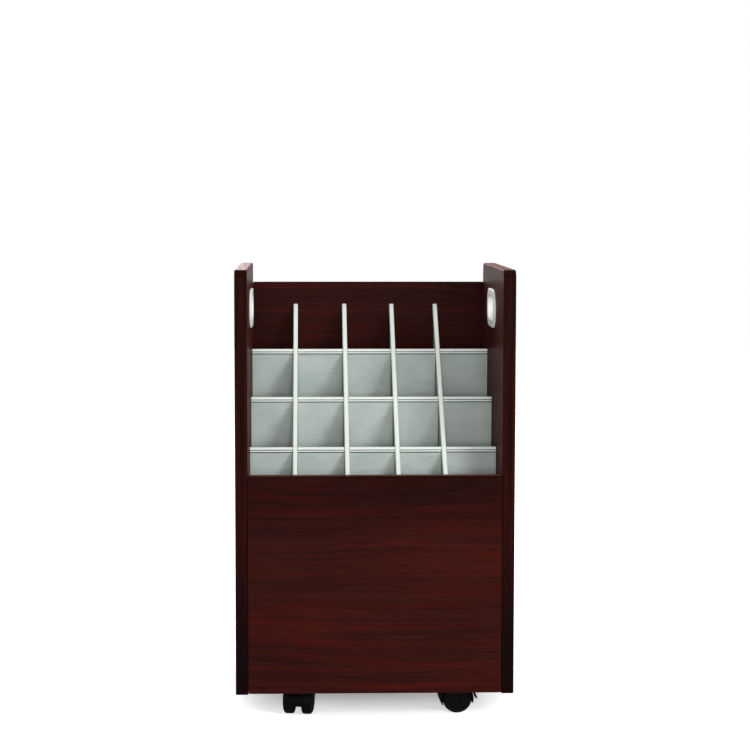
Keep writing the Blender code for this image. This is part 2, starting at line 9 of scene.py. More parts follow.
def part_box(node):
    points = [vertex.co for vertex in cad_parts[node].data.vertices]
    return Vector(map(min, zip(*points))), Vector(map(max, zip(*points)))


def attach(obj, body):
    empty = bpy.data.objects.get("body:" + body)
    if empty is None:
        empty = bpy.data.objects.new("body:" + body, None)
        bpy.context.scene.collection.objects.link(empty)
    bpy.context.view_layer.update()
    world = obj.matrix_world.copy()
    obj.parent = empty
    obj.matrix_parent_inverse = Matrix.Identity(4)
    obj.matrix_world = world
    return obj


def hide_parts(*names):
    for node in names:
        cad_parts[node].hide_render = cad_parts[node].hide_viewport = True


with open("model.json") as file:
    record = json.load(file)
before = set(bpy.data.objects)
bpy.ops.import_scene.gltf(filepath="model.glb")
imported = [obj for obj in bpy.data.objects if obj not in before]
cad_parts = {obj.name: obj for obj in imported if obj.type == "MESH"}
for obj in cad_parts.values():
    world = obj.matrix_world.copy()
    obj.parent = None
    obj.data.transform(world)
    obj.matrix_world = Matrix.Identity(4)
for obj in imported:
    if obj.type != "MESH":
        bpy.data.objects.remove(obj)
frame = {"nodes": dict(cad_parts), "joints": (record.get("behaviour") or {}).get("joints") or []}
nodes = frame["nodes"]
joints = {joint["name"]: joint for joint in frame["joints"]}
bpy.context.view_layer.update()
scene = bpy.context.scene
print("frame loaded:", len(nodes), "nodes")


# Camera: lens and place worked out from the edges of the boards
cameraView = {
    "lens": 99.0,  # mm on a 36 mm sensor
    "place": (-0.0938, -2.9929, 0.7251),
    "yaw": 1.89,  # degrees to the right
    "pitch": -4.87,
    "roll": -0.08,
}


def addCamera():
    yaw, pitch, roll = (math.radians(cameraView[turn]) for turn in ("yaw", "pitch", "roll"))
    forward = Vector((math.sin(yaw) * math.cos(pitch), math.cos(yaw) * math.cos(pitch), math.sin(pitch)))
    data = bpy.data.cameras.new("photoCamera")
    data.lens = cameraView["lens"]
    camera = bpy.data.objects.new("photoCamera", data)
    scene.collection.objects.link(camera)
    turn = Matrix.Rotation(roll, 4, forward) @ forward.to_track_quat("-Z", "Y").to_matrix().to_4x4()
    camera.matrix_world = Matrix.Translation(cameraView["place"]) @ turn
    scene.camera = camera


addCamera()
scene.view_settings.view_transform = "Standard"


# Materials
noiseSpan = (0.3, 0.7)  # nearly all of a noise's values lie between these


def linearColour(hexText):  # sRGB hex to the linear values that shaders take
    channels = [int(hexText[place:place + 2], 16) / 255 for place in (1, 3, 5)]
    return [c / 12.92 if c <= 0.04045 else ((c + 0.055) / 1.055) ** 2.4 for c in channels] + [1.0]


def addNode(tree, kind, inputs=None, stops=None, **settings):
    node = tree.nodes.new("ShaderNode" + kind)
    for name, value in settings.items():
        setattr(node, name, value)
    for key, value in (inputs or {}).items():
        if isinstance(value, bpy.types.NodeSocket):
            tree.links.new(value, node.inputs[key])
        else:
            node.inputs[key].default_value = value
    if stops:  # a colour ramp's places and colours
        elements = node.color_ramp.elements
        while len(elements) < len(stops):
            elements.new(0.5)
        for element, (place, colour) in zip(elements, stops):
            element.position = place
            element.color = linearColour(colour) if isinstance(colour, str) else (colour,) * 3 + (1.0,)
    return node


def newMaterial(name, look):
    material = bpy.data.materials.new(name)
    material.use_nodes = True
    shader = material.node_tree.nodes["Principled BSDF"]
    shader.inputs["Roughness"].default_value = look["roughness"]
    if look.get("metallic"):
        shader.inputs["Metallic"].default_value = look["metallic"]
    else:
        shader.inputs["Specular IOR Level"].default_value = look["specular"]
        shader.inputs["IOR"].default_value = look["ior"]
    return material, material.node_tree, shader


# Noise drawn out so that its pattern is this long, wide and deep in millimetres
def stretchedNoise(tree, places, lengths, detail, roughness=0.5):
    split = addNode(tree, "SeparateXYZ", {0: places})
    parts = {}
    for index, length in enumerate(lengths):
        part = addNode(tree, "Math", {0: split.outputs[index], 1: 1000.0 / length}, operation="MULTIPLY")
        parts[index] = part.outputs[0]
    stretched = addNode(tree, "CombineXYZ", parts).outputs[0]
    noise = addNode(tree, "TexNoise", {
        "Vector": stretched, "Scale": 1.0, "Detail": detail, "Roughness": roughness})
    return noise.outputs["Fac"]


# The shader gets its colour, a roughness that wavers with a noise, and a bump
def dressShader(tree, shader, look, colour, waver=None, height=None, invert=False):
    tree.links.new(colour, shader.inputs["Base Color"])
    if waver:
        less, more = look["roughSpread"]
        rough = addNode(tree, "MapRange", {
            0: waver, 3: look["roughness"] - less, 4: look["roughness"] + more})
        tree.links.new(rough.outputs[0], shader.inputs["Roughness"])
    if height:
        strength, distance = look["bump"]
        bump = addNode(tree, "Bump", {"Strength": strength, "Distance": distance, "Height": height},
                       invert=invert)
        tree.links.new(bump.outputs[0], shader.inputs["Normal"])


# Melamine laminate, printed with mahogany and pressed against a satin plate:
# a deep red brown with long red streaks that bend round the eye of each board, and a soft sheen
laminate = {
    "dark": "#270f0d", "middle": "#2d110e", "light": "#341411", "red": "#47110b", "pore": "#180907",
    # each layer: mm along and across the grain, and how finely it breaks up
    "streak": (420.0, 5.0, 3.0),
    "figure": (320.0, 12.0, 4.0),
    "cloud": (260.0, 90.0, 2.0),
    "fine": (170.0, 2.0, 2.0),  # real lines are about 0.5 mm; coarser so that they show
    "hair": (55.0, 0.8, 2.0),
    "pores": (13.0, 0.7, 1.0),  # real pores are about 0.3 mm wide
    "bend": (230.0, 70.0, 1.0),
    "bendReach": 11.0,  # mm that the grain wanders
    "streakStops": (0.30, 0.50, 0.70),  # where the streaks are dark, middle and light
    "figureStops": ((0.46, 0.0), (0.74, 0.65)),  # how strongly the red and the pores come through
    "poreStops": ((0.63, 0.0), (0.70, 0.6)),
    # how much darker and lighter these layers make the print
    "shading": {"fine": (0.87, 1.12), "hair": (0.82, 1.15), "cloud": (0.88, 1.12)},
    "eyes": {"XZ": (-0.055, 0.334), "ZY": (0.43, 0.035), "XY": (0.06, -0.03)},  # places on each board
    "eyeLength": 9.0,  # how far the rings are drawn out along the grain
    "heart": (0.018, 0.11, 0.56),  # the heart's edges and its shade
    "foot": None,  # heights in metres between which painted shade darkens the print towards the floor, and how far
    "roughness": 0.38, "roughSpread": (0.05, 0.06), "specular": 0.009, "ior": 1.5,
    "bump": (0.25, 0.00008),  # strength, and depth in metres
    "sheen": 0.035, "sheenSpread": 0.3, "sheenTint": "#d0786c",  # the pink bloom at a low angle
}
# The raw particle board below the front and back panels: tan glued chips
rawBoard = {"dark": "#6b5135", "middle": "#a3855d", "light": "#c9b083", "chips": (4.0, 1.6),
            "detail": 3.0, "roughness": 0.6, "stops": (0.34, 0.50, 0.68),
            "downward": -0.5}  # a normal's Z below which a face looks down


# Grain with slow bends, as places along it, across it and into the board
def bentPlaces(tree, turned, tones):
    long, wide, detail = tones["bend"]
    bend = stretchedNoise(tree, turned, (long, wide, wide), detail)
    shift = addNode(tree, "Math", {0: bend, 1: 0.5}, operation="SUBTRACT")  # a noise's middle is 0.5
    reach = addNode(tree, "Math", {0: shift.outputs[0], 1: tones["bendReach"] / 1000.0 * 2},
                    operation="MULTIPLY")
    aside = addNode(tree, "CombineXYZ", {1: reach.outputs[0], 2: reach.outputs[0]})
    return addNode(tree, "VectorMath", {0: turned, 1: aside.outputs[0]}, operation="ADD").outputs[0]


# Growth rings: how far a place is from the eye, in ovals drawn out along the grain
def ringDistance(tree, bent, eye, eyeLength):
    off = addNode(tree, "VectorMath", {0: bent, 1: (*eye, 0.0)}, operation="SUBTRACT")
    drawn = addNode(tree, "VectorMath", {0: off.outputs[0], 1: (1.0 / eyeLength, 1.0, 0.0)},
                    operation="MULTIPLY")
    return addNode(tree, "VectorMath", {0: drawn.outputs[0]}, operation="LENGTH").outputs["Value"]


def rawUnderside(tree, colour, places):  # chips of particle board on faces that look down
    long, wide = rawBoard["chips"]
    chips = stretchedNoise(tree, places, (long, wide, wide), rawBoard["detail"], rawBoard["roughness"])
    tan = addNode(tree, "ValToRGB", {0: chips},
                  list(zip(rawBoard["stops"], (rawBoard["dark"], rawBoard["middle"], rawBoard["light"]))))
    facing = addNode(tree, "SeparateXYZ", {0: addNode(tree, "NewGeometry").outputs["True Normal"]})
    below = addNode(tree, "Math", {0: facing.outputs["Z"], 1: rawBoard["downward"]},
                    operation="LESS_THAN")
    mixed = addNode(tree, "Mix", {0: below.outputs[0], 6: colour, 7: tan.outputs[0]}, data_type="RGBA")
    return mixed.outputs[2]


def laminateMaterial(name, grain, across, tones=laminate, attribute=None, raw=False):
    material, tree, shader = newMaterial(name, tones)
    shader.inputs["Sheen Weight"].default_value = tones["sheen"]
    shader.inputs["Sheen Roughness"].default_value = tones["sheenSpread"]
    shader.inputs["Sheen Tint"].default_value = linearColour(tones["sheenTint"])
    objectPlaces = addNode(tree, "TexCoord").outputs["Object"]
    places = objectPlaces
    if attribute:  # a print that follows a strip round its board
        places = addNode(tree, "Attribute", attribute_name=attribute).outputs["Vector"]
    depth = next(axis for axis in "XYZ" if axis not in (grain, across))
    split = addNode(tree, "SeparateXYZ", {0: places})
    turned = addNode(tree, "CombineXYZ", {
        0: split.outputs[grain], 1: split.outputs[across], 2: split.outputs[depth]}).outputs[0]
    bent = bentPlaces(tree, turned, tones)
    ring = None
    if tones["eyes"]:
        ring = ringDistance(tree, bent, tones["eyes"][grain + across], tones["eyeLength"])
        bent = addNode(tree, "CombineXYZ", {
            0: split.outputs[grain], 1: ring, 2: split.outputs[depth]}).outputs[0]

    def layer(key):
        long, wide, detail = tones[key]
        return stretchedNoise(tree, bent, (long, wide, wide), detail)

    # dark, middle and light streaks, with red figure over them
    streaks = addNode(tree, "ValToRGB", {0: layer("streak")},
                      list(zip(tones["streakStops"], (tones["dark"], tones["middle"], tones["light"]))))
    figure = addNode(tree, "ValToRGB", {0: layer("figure")}, tones["figureStops"])
    figured = addNode(tree, "Mix", {
        0: figure.outputs[0], 6: streaks.outputs[0], 7: linearColour(tones["red"])}, data_type="RGBA")

    # finer lines and broad clouds make it lighter and darker, and so does the heart of the eye
    fine = layer("fine")
    shades = []
    for key, (low, high) in tones["shading"].items():
        value = fine if key == "fine" else layer(key)
        span = addNode(tree, "MapRange", {0: value, 1: noiseSpan[0], 2: noiseSpan[1], 3: low, 4: high})
        shades.append(span.outputs[0])
    if ring:
        near, far, heartShade = tones["heart"]
        heart = addNode(tree, "MapRange", {0: ring, 1: near, 2: far, 3: heartShade, 4: 1.0},
                        interpolation_type="SMOOTHSTEP")
        shades.append(heart.outputs[0])
    shade = shades[0]
    for more in shades[1:]:
        shade = addNode(tree, "Math", {0: shade, 1: more}, operation="MULTIPLY").outputs[0]
    lined = addNode(tree, "VectorMath", {0: figured.outputs[2], "Scale": shade}, operation="SCALE")

    pores = addNode(tree, "ValToRGB", {0: layer("pores")}, tones["poreStops"]).outputs[0]
    mixed = addNode(tree, "Mix", {
        0: pores, 6: lined.outputs[0], 7: linearColour(tones["pore"])}, data_type="RGBA")
    colour = mixed.outputs[2]
    # painted shade: towards the floor the colour darkens to a near black tone
    if tones["foot"]:
        height = addNode(tree, "SeparateXYZ", {0: objectPlaces}).outputs["Z"]
        low, high, most = tones["foot"]
        share = addNode(tree, "MapRange", {0: height, 1: low, 2: high, 3: most, 4: 0.0},
                        interpolation_type="SMOOTHSTEP")
        mixed = addNode(tree, "Mix", {
            0: share.outputs[0], 6: colour, 7: linearColour(tones["floorShadeTone"])}, data_type="RGBA")
        colour = mixed.outputs[2]
    if raw:
        colour = rawUnderside(tree, colour, places)
    dressShader(tree, shader, tones, colour, fine, pores, invert=True)
    return material


# Edge banding, a melamine strip glued on with its print along its length:
# darker and plainer than the boards, with painted shade that makes it nearly black towards the floor
edgeBanding = dict(
    laminate, dark="#130605", middle="#1e0a08", light="#2b0e0b", red="#320c08", pore="#0f0504",
    streak=(240.0, 3.2, 3.0), figure=(260.0, 6.0, 4.0), fine=(90.0, 1.5, 2.0), bendReach=1.5, eyes=None,
    foot=(0.09, 0.27, 0.85), floorShadeTone="#0f0709", roughness=0.36, specular=0.007, sheen=0.16)

# Grey chipboard, calendered: a dry pale grey with faint streaks along each board and cloudy patches
greyBoard = {
    "dark": "#a6b1ac", "light": "#b7c0bb", "fleck": "#949f9a",
    "cloud": 45.0, "cloudDetail": 3.0,
    "fibre": (34.0, 1.7),  # real fibres are about 0.05 mm wide; coarser so that they show
    "fibreDetail": 4.0, "fibreRoughness": 0.7,
    "fleckStops": ((0.52, 0.0), (0.70, 0.7)),
    "roughness": 0.75, "specular": 0.12, "ior": 1.45, "bump": (0.35, 0.0001),
}


def boardMaterial():
    material, tree, shader = newMaterial("greyChipboardCalendered", greyBoard)
    places = addNode(tree, "TexCoord").outputs["Object"]
    cloud = stretchedNoise(tree, places, (greyBoard["cloud"],) * 3, greyBoard["cloudDetail"])
    tone = addNode(tree, "ValToRGB", {0: cloud},
                   [(noiseSpan[0], greyBoard["dark"]), (noiseSpan[1], greyBoard["light"])])
    long, wide = greyBoard["fibre"]
    fibre = stretchedNoise(tree, places, (long, long, wide), greyBoard["fibreDetail"],
                           greyBoard["fibreRoughness"])
    flecks = addNode(tree, "ValToRGB", {0: fibre}, greyBoard["fleckStops"])
    colour = addNode(tree, "Mix", {
        0: flecks.outputs[0], 6: tone.outputs[0], 7: linearColour(greyBoard["fleck"])}, data_type="RGBA")
    dressShader(tree, shader, greyBoard, colour.outputs[2], height=fibre)
    return material


# Rigid PVC, extruded: a clean off-white with a waxy sheen and faint flow marks
whiteTrim = {
    "dark": "#d9dfd9", "light": "#e4e9e3",
    "flow": (60.0, 1.2, 3.0),  # mm along and across, and how finely it breaks up
    "roughness": 0.34, "roughSpread": (0.05, 0.08), "specular": 0.25, "ior": 1.53,
}
# Rigid PVC, moulded: a little whiter, with broad flow marks
whiteLiner = dict(whiteTrim, dark="#e4e7e2", light="#eaece8", flow=(40.0, 24.0, 3.0), roughness=0.4)
# Painted shade in the trims' grooves and under their lips: a dark dull line
paintedTrimShade = dict(whiteTrim, dark="#353c39", light="#4c5450", roughness=0.5)
# Black nylon, injection moulded in a spark-eroded mould: nearly black, matt and finely pitted
blackHood = dict(
    whiteTrim, dark="#060607", light="#0b0b0c", flow=(14.0, 14.0, 3.0), roughness=0.42, specular=0.035,
    pits=(0.9, 2.0),  # the real pits are about 0.1 mm; coarser so that they show
    bump=(0.4, 0.00012))
# Black nylon wheels: smoother from rolling, with a little dust
blackWheel = dict(
    blackHood, dark="#060606", light="#0d0c0c", flow=(7.0, 7.0, 3.0), roughness=0.48,
    pits=(1.4, 2.0), bump=(0.2, 0.00012))
# Zinc-plated steel, cold pressed: bright and slightly blue, with a fine cloudy spangle
zincPlate = {
    "dark": "#a9adb2", "light": "#cdd0d2", "flow": (5.0, 5.0, 4.0),
    "metallic": 1.0, "roughness": 0.3, "roughSpread": (0.06, 0.12),
}


def cloudedMaterial(name, look):  # two tones that flow into each other, with pits where it has them
    material, tree, shader = newMaterial(name, look)
    places = addNode(tree, "TexCoord").outputs["Object"]
    long, wide, detail = look["flow"]
    flow = stretchedNoise(tree, places, (long, wide, wide), detail)
    tone = addNode(tree, "ValToRGB", {0: flow},
                   [(noiseSpan[0], look["dark"]), (noiseSpan[1], look["light"])])
    pits = None
    if "pits" in look:
        size, detail = look["pits"]
        pits = stretchedNoise(tree, places, (size,) * 3, detail)
    dressShader(tree, shader, look, tone.outputs[0], flow, pits)
    return material


materials = {
    "laminateAcross": laminateMaterial("mahoganyLaminateAcross", "X", "Z", raw=True),
    "laminateUpright": laminateMaterial("mahoganyLaminateUpright", "Z", "Y"),
    "laminateFlat": laminateMaterial("mahoganyLaminateFlat", "X", "Y"),
    "bandAcross": laminateMaterial("mahoganyEdgeBandingAcross", "X", "Y", edgeBanding),
    "bandRing": laminateMaterial("mahoganyEdgeBandingRing", "X", "Y", edgeBanding, "bandPlace"),
    "board": boardMaterial(),
    "trim": cloudedMaterial("extrudedTrimPvc", whiteTrim),
    # the trims' painted shade, in their grooves and under their lips
    "groove": cloudedMaterial("extrudedTrimPaintedShade", paintedTrimShade),
    "liner": cloudedMaterial("mouldedLinerPvc", whiteLiner),
    "hood": cloudedMaterial("mouldedNylonHood", blackHood),
    "wheel": cloudedMaterial("mouldedNylonWheel", blackWheel),
    "zinc": cloudedMaterial("zincPlatedSteel", zincPlate),
}
startMaterials = {
    "side_panel": "laminateUpright", "front_panel": "laminateAcross", "back_panel": "laminateAcross",
    "base_panel": "laminateFlat", "front_top_band": "bandAcross", "back_top_band": "bandAcross",
    "side_edge_band": "bandAcross", "column_divider": "board", "row_divider": "board",
    "column_trim": "trim", "row_trim": "trim", "hand_hole_liner": "liner",
}
endMaterials = {
    "_mount": "zinc", "_axle": "zinc", "_hood": "hood", "_pedal": "hood", "_wheel_1": "wheel",
    "_wheel_2": "wheel",
}
for name, node in nodes.items():
    key = next((value for start, value in startMaterials.items() if name.startswith(start)), None)
    key = key or next(value for end, value in endMaterials.items() if name.endswith(end))
    for place in node.material_slots:
        place.material = materials[key]
print("materials:", len(materials))


# Mesh helpers

def addPiece(name, mesh, looks, body, replaced=(), matrix=None):
    piece = bpy.data.objects.new(name, mesh)
    scene.collection.objects.link(piece)
    piece.matrix_world = matrix or Matrix()
    for key in looks:
        mesh.materials.append(materials[key])
    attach(piece, body)
    if replaced:
        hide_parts(*replaced)
    return piece


def arcPoints(centre, radius, start, end, steps):
    turns = [math.radians(start + (end - start) * step / steps) for step in range(steps + 1)]
    return [(centre[0] + radius * math.cos(turn), centre[1] + radius * math.sin(turn)) for turn in turns]


# A closed outline with each corner rounded to its radius
def filletedOutline(corners, steps=4):
    outline = []
    for index, (x, y, radius) in enumerate(corners):
        here = Vector((x, y))
        before = (Vector(corners[index - 1][:2]) - here).normalized()
        after = (Vector(corners[(index + 1) % len(corners)][:2]) - here).normalized()
        if not radius:
            outline.append((x, y))
            continue
        half = before.angle(after) / 2
        start, end = here + before * radius / math.tan(half), here + after * radius / math.tan(half)
        centre = here + (before + after).normalized() * radius / math.sin(half)
        for step in range(steps + 1):
            ray = (start - centre).lerp(end - centre, step / steps)
            outline.append(tuple(centre + ray.normalized() * radius))
    return outline


# Skin over sections with equal numbers of points; a ring closes on itself, otherwise its ends are capped
def sweptMesh(name, sections, ring=False, lengths=None, shaded=()):
    mesh = bpy.data.meshes.new(name)
    count = len(sections[0])
    points = [point for section in sections for point in section]
    faces, alongs = [], []
    for index in range(len(sections) if ring else len(sections) - 1):
        here, there = index * count, (index + 1) % len(sections) * count
        for step in range(count):
            after = (step + 1) % count
            faces.append((here + step, here + after, there + after, there + step))
            alongs.append((index, step))
    if not ring:
        faces.append(tuple(reversed(range(count))))
        faces.append(tuple(range(len(points) - count, len(points))))
    mesh.from_pydata(points, [], faces)
    if lengths:  # how far along and round the strip each corner lies, for a print that follows it
        layer = mesh.attributes.new("bandPlace", "FLOAT_VECTOR", "CORNER")
        for face, (index, step) in zip(mesh.polygons, alongs):
            for corner, (far, side) in zip(face.loop_indices, ((0, 0), (0, 1), (1, 1), (1, 0))):
                layer.data[corner].vector = (lengths[0][index + far], lengths[1][step + side], 0.0)
    for face, (index, step) in zip(mesh.polygons, alongs):
        face.material_index = 1 if step in shaded else 0
    return mesh


# Faces turned outward, and points closer than the weld distance joined
def cleanMesh(mesh, weld=0.0):
    shape = bmesh.new()
    shape.from_mesh(mesh)
    if weld:
        bmesh.ops.remove_doubles(shape, verts=shape.verts, dist=weld)
    bmesh.ops.recalc_face_normals(shape, faces=shape.faces)
    shape.to_mesh(mesh)
    shape.free()
    return mesh


def finishShape(piece, sharpFrom):  # smooth but for edges sharper than these degrees
    cleanMesh(piece.data)
    piece.data.shade_smooth()
    piece.data.set_sharp_from_angle(angle=math.radians(sharpFrom))
    weighted = piece.modifiers.new("evenShading", "WEIGHTED_NORMAL")
    weighted.keep_sharp = True


def outlineMesh(name, outline, low, high):  # in the piece's own X and Z, from low to high along Y
    return cleanMesh(sweptMesh(name, [[(x, place, z) for x, z in outline] for place in (low, high)]))


def turnedMesh(name, profile, steps):  # radius and height pairs, turned about the piece's own Z
    sections = []
    for step in range(steps):
        turn = 2 * math.pi * step / steps
        sections.append([(radius * math.cos(turn), radius * math.sin(turn), z) for radius, z in profile])
    return cleanMesh(sweptMesh(name, sections, ring=True), weld=0.000001)


def newDraft(name, mesh, matrix=None):  # an object to cut, or to cut with
    draft = bpy.data.objects.new(name, mesh)
    scene.collection.objects.link(draft)
    draft.matrix_world = matrix or Matrix()
    return draft


def bevelEdges(draft, width, segments, angle):
    bevel = draft.modifiers.new("arris", "BEVEL")
    bevel.width = width
    bevel.segments = segments
    bevel.limit_method = "ANGLE"
    bevel.angle_limit = math.radians(angle)


def cutShape(draft, mesh, matrix=None, operation="DIFFERENCE"):
    cutter = newDraft(draft.name + "Cutter", mesh, matrix)
    boolean = draft.modifiers.new("cut", "BOOLEAN")
    boolean.object = cutter
    boolean.operation = operation
    boolean.solver = "EXACT"
    return cutter


def settledMesh(draft, cutters):  # what the modifiers make of the draft, which goes with its cutters
    graph = bpy.context.evaluated_depsgraph_get()
    settled = bpy.data.meshes.new_from_object(draft.evaluated_get(graph))
    for used in (draft, *cutters):
        bpy.data.objects.remove(used)
    return settled


def stepLengths(points):  # how far round a closed outline each point lies
    lengths = [0.0]
    for index, point in enumerate(points):
        lengths.append(lengths[-1] + math.dist(point, points[(index + 1) % len(points)]))
    return lengths


# Edge banding round each side panel, 2 mm thick with softened arrises
sideBand = {
    "thickness": 0.002, "arris": 0.0016, "cornerRadius": 0.012, "cornerSteps": 14,
    "sharpFrom": 50.0,  # degrees from which an edge stays sharp, here and in the shapes below
}


def addSideBand(side):
    node = f"side_edge_band_{side}"
    low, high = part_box(node)
    thickness, arris = sideBand["thickness"], sideBand["arris"]
    profile = filletedOutline([
        (0, low.x, arris), (0, high.x, arris), (thickness, high.x, 0), (thickness, low.x, 0)])

    def outlineAt(inset):
        near, far = low.y + inset, high.y - inset
        bottom, top, radius = low.z + inset, high.z - inset, sideBand["cornerRadius"] - inset
        steps = sideBand["cornerSteps"]
        outline = [((near + far) / 2, bottom), (far, bottom)]
        outline += arcPoints((far - radius, top - radius), radius, 0, 90, steps)
        outline += arcPoints((near + radius, top - radius), radius, 90, 180, steps)
        return outline + [(near, bottom)]

    outlines = [outlineAt(inset) for inset, x in profile]
    sections = []
    for index in range(len(outlines[0])):
        sections.append([(x, *outlines[step][index]) for step, (inset, x) in enumerate(profile)])
    name = f"sideBanding.{side}"
    lengths = (stepLengths(outlines[0]), stepLengths(profile))
    mesh = sweptMesh(name, sections, ring=True, lengths=lengths)
    piece = addPiece(name, mesh, ["bandRing"], "cabinet", [node])
    finishShape(piece, sideBand["sharpFrom"])


for side in ("left", "right"):
    addSideBand(side)
print("side banding done")


# Trims that cap the divider boards: a round-shouldered bead, a groove and a lip
trimShape = {
    "height": 0.0065, "web": 0.0012, "shoulder": 0.0017, "grooveTop": 0.0037, "grooveHeight": 0.0009,
    "grooveDepth": 0.00055, "channelHalf": 0.0026, "lipRadius": 0.0004, "soft": 0.00015,
    "paintedShadeHeight": 0.0016, "paintedShadeDepth": 0.0002,  # a painted shadow line where the lip meets the board
    "near": 0.0001,  # how far inside an edge a face counts as the groove's or the painted shadow line's
    "sharpFrom": 50.0,
}


# The trim's outline, and which of its steps take the painted shade
def trimProfile(halfWidth):
    s = trimShape
    top, bottom = -s["grooveTop"], -s["grooveTop"] - s["grooveHeight"]
    inner = halfWidth - s["grooveDepth"]
    channel = s["channelHalf"] - s["paintedShadeDepth"]
    paintedShadeFoot = -s["height"] - s["paintedShadeHeight"]
    right = [
        (halfWidth, 0, s["shoulder"]), (halfWidth, top, s["lipRadius"]), (inner, top, s["soft"]),
        (inner, bottom, s["soft"]), (halfWidth, bottom, s["lipRadius"]),
        (halfWidth, -s["height"], s["lipRadius"]), (s["channelHalf"], -s["height"], 0),
        (s["channelHalf"], paintedShadeFoot, 0), (channel, paintedShadeFoot, 0), (channel, -s["web"], 0)]
    left = [(-u, v, radius) for u, v, radius in reversed(right)]
    outline = filletedOutline(right + left)
    near = s["near"]
    # the groove and the strip under the lip take the painted shade
    paintedShadeSteps = []
    for index, (u, v) in enumerate(outline):
        middle = (v + outline[(index + 1) % len(outline)][1]) / 2
        inGroove = bottom - 2 * near < v < top + near and inner - near < abs(u) < halfWidth - near
        if inGroove or middle < -s["height"] - near:
            paintedShadeSteps.append(index)
    return outline, paintedShadeSteps


def addTrim(name, node, along, rise=0.0):
    low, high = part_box(node)
    across = "y" if along == "x" else "x"
    middle = (getattr(low, across) + getattr(high, across)) / 2
    outline, paintedShadeSteps = trimProfile((getattr(high, across) - getattr(low, across)) / 2)
    if along == "x":
        sections = [[(end, middle + u, high.z + v) for u, v in outline] for end in (low.x, high.x)]
    else:  # follows the slope, with its ends cut upright
        stretch = 1.0 / math.cos(math.atan(rise))
        ends = ((low.y, high.z - rise * (high.y - low.y)), (high.y, high.z))
        sections = [[(middle + u, end, top + v * stretch) for u, v in outline] for end, top in ends]
    mesh = sweptMesh(name, sections, shaded=paintedShadeSteps)
    # the second material is the painted shade in the groove and under the lip
    piece = addPiece(name, mesh, ["trim", "groove"], "cabinet", [node])
    finishShape(piece, trimShape["sharpFrom"])


def trimSlope():
    low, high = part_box("column_trim_1")
    heights = [(v.co.y, v.co.z) for v in nodes["column_trim_1"].data.vertices]
    endDepth = 0.001  # corners this close to an end belong to it
    frontTop = max(z for y, z in heights if y < low.y + endDepth)
    backTop = max(z for y, z in heights if y > high.y - endDepth)
    return (backTop - frontTop) / (high.y - low.y)


slope = trimSlope()
for name in sorted(nodes):
    if name.startswith("column_trim_"):
        addTrim("columnTrim." + name[-1], name, "y", slope)
    elif name.startswith("row_trim_"):
        addTrim("rowTrim." + name[-3:].replace("_", "."), name, "x")
print("trims done, slope", round(slope, 3))


# Liner of each hand hole: a sleeve through the board and a rounded flange on the inner face
linerShape = {
    "height": 0.033, "wall": 0.002, "flange": 0.011, "flangeThickness": 0.0032, "lip": 0.0013,
    "soft": 0.0004, "cornerSteps": 5, "steps": 28, "sharpFrom": 50.0,
}


def addLiner(side, facing):
    node = f"hand_hole_liner_{side}"
    low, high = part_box(node)
    centre = (low + high) / 2
    s = linerShape
    outerFace, innerFace = (low.x, high.x) if facing < 0 else (high.x, low.x)
    back = innerFace + facing * s["flangeThickness"]
    profile = filletedOutline([
        (0, outerFace, s["soft"]), (s["wall"], outerFace, s["soft"] / 2), (s["wall"], back, 0),
        (s["flange"], back, s["soft"]), (s["flange"], innerFace, s["lip"]), (0, innerFace, s["lip"])],
        s["cornerSteps"])
    halfLength = (high.y - low.y) / 2 - s["flange"]
    reach = halfLength - s["height"] / 2

    def outlineAt(growth):
        radius = s["height"] / 2 + growth
        right = arcPoints((centre.y + reach, centre.z), radius, -90, 90, s["steps"])
        return right + arcPoints((centre.y - reach, centre.z), radius, 90, 270, s["steps"])

    outlines = [outlineAt(growth) for growth, x in profile]
    sections = []
    for index in range(len(outlines[0])):
        sections.append([(x, *outlines[step][index]) for step, (growth, x) in enumerate(profile)])
    name = f"handHoleLiner.{side}"
    mesh = sweptMesh(name, sections, ring=True)
    piece = addPiece(name, mesh, ["liner"], "cabinet", [node])
    finishShape(piece, s["sharpFrom"])


addLiner("left", -1)
addLiner("right", 1)
print("hand hole liners done")


# Casters: each piece is drawn from the floor under the kingpin, with X the way the wheels trail and Z up
wheelShape = {
    "radius": 0.02054, "width": 0.0140, "spacing": 0.0122, "steps": 96, "sharpFrom": 35.0,
    "bore": 0.0033, "boreEnd": 0.0098, "hub": 0.0055, "hubReach": 0.0008,
    "recess": 0.0075, "rim": 0.0035, "rimSlant": 0.0012,
    "innerEdge": 0.0026, "innerSteps": 6, "outerEdge": 0.0042, "outerSteps": 9, "outerTurn": 78.0,
    # the tread's seam: share of the width, and depth
    "seam": ((0.47, 0.0), (0.485, 0.00018), (0.50, 0.00018), (0.515, 0.0)),
    # the outer face: how far in from the tread and down from the face, then the hub's radii and heights
    "rimSteps": ((0.0048, 0.0004), (0.0052, 0.0011), (0.0075, 0.0009), (0.0125, 0.0005)),
    "hubSteps": ((0.0062, -0.0004), (0.0056, -0.0009), (0.0052, -0.0009), (0.0047, -0.0002),
                 (0.0025, 0.0001), (0.0, 0.0002)),
}
hoodShape = {
    "trail": 0.014, "innerRadius": 0.0216, "outerRadius": 0.0235, "width": 0.038, "web": 0.010,
    "boss": 0.013, "top": 0.0505, "bossFoot": 0.04595, "slant": 0.024, "lead": 0.0110, "tail": 0.0147,
    "arris": 0.0009, "arrisSteps": 3, "arrisFrom": 30.0, "steps": 72, "arcSteps": 40, "sharpFrom": 32.0,
    "slotWidth": 0.0066, "slotRoom": 0.0026, "slotSteps": 8, "slotReach": 0.005,
}
